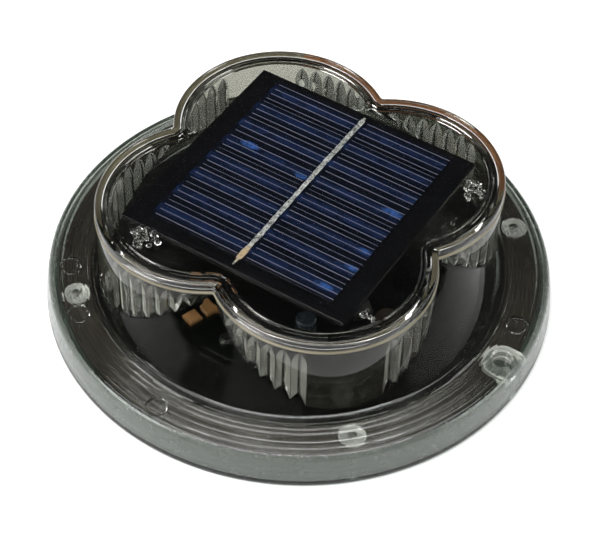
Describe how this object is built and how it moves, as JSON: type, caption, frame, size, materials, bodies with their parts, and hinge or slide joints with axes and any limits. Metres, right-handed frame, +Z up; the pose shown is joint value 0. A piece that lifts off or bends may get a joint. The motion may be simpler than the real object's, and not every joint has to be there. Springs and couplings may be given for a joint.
{
  "type": "floating pool light",
  "caption": "Floating solar pool light: a clear round hull with a raised four-lobed dome over a square solar panel, screwed shells, a tether hole and a push button underneath.",
  "frame": {"origin": "centre of the flat underside of the hull", "axes": "+Z up through the dome; the four lobes and the four hull screws lie on +X, +Y, -X and -Y"},
  "size_m": [0.165, 0.165, 0.045],
  "materials": {
    "clear_plastic": "gloss",
    "clear_base_plastic": "gloss",
    "olive_seal": "satin",
    "black_rubber": "matte",
    "black_plastic": "satin",
    "panel_black": "gloss",
    "cell_blue": "satin",
    "tinned_ribbon": "satin",
    "clear_glue": "gloss",
    "steel": "satin",
    "board_black": "satin",
    "led_amber": "satin",
    "chip_black": "matte",
    "copper": "satin",
    "capacitor_can": "satin",
    "battery_sleeve": "satin",
    "nickel": "satin",
    "wire_red": "satin",
    "wire_black": "satin"
  },
  "bodies": {
    "light_body": {"top_shell": "clear_plastic", "dome_lid": "clear_plastic", "lid_seal": "olive_seal", "bottom_shell": "clear_base_plastic", "hull_seal": "black_rubber", "shell_screw_1": "steel", "shell_screw_2": "steel", "shell_screw_3": "steel", "shell_screw_4": "steel", "solar_panel_board": "panel_black", "solar_cell": "cell_blue", "busbar_ribbon": "tinned_ribbon", "glue_bead_left": "clear_glue", "glue_bead_right": "clear_glue", "glue_bead_front": "clear_glue", "deck_plate": "black_plastic", "circuit_board": "board_black", "board_screw_1": "steel", "board_screw_2": "steel", "board_screw_3": "steel", "board_screw_4": "steel", "led_1": "led_amber", "led_2": "led_amber", "led_3": "led_amber", "led_4": "led_amber", "charge_chip": "chip_black", "inductor": "copper", "capacitor": "capacitor_can", "battery_box": "black_plastic", "battery_box_cover": "black_plastic", "battery_1": "battery_sleeve", "battery_2": "battery_sleeve", "battery_spring_1": "nickel", "battery_spring_2": "nickel", "battery_tab_1": "nickel", "battery_tab_2": "nickel", "button_guide": "black_plastic", "switch_body": "black_plastic", "panel_wire_red": "wire_red", "panel_wire_black": "wire_black", "battery_wire_red": "wire_red", "battery_wire_black": "wire_black", "switch_wire_1": "wire_red", "switch_wire_2": "wire_black"},
    "button": {"power_button": "black_rubber", "switch_plunger": "capacitor_can"}
  },
  "joints": [
    {"name": "button_press", "type": "slide", "parent": "light_body", "child": "button", "axis": [0, 0, 1], "range_m": [0, 0.0012], "stiffness_N_per_m": 2000, "springref_m": -0.0005}
  ]
}
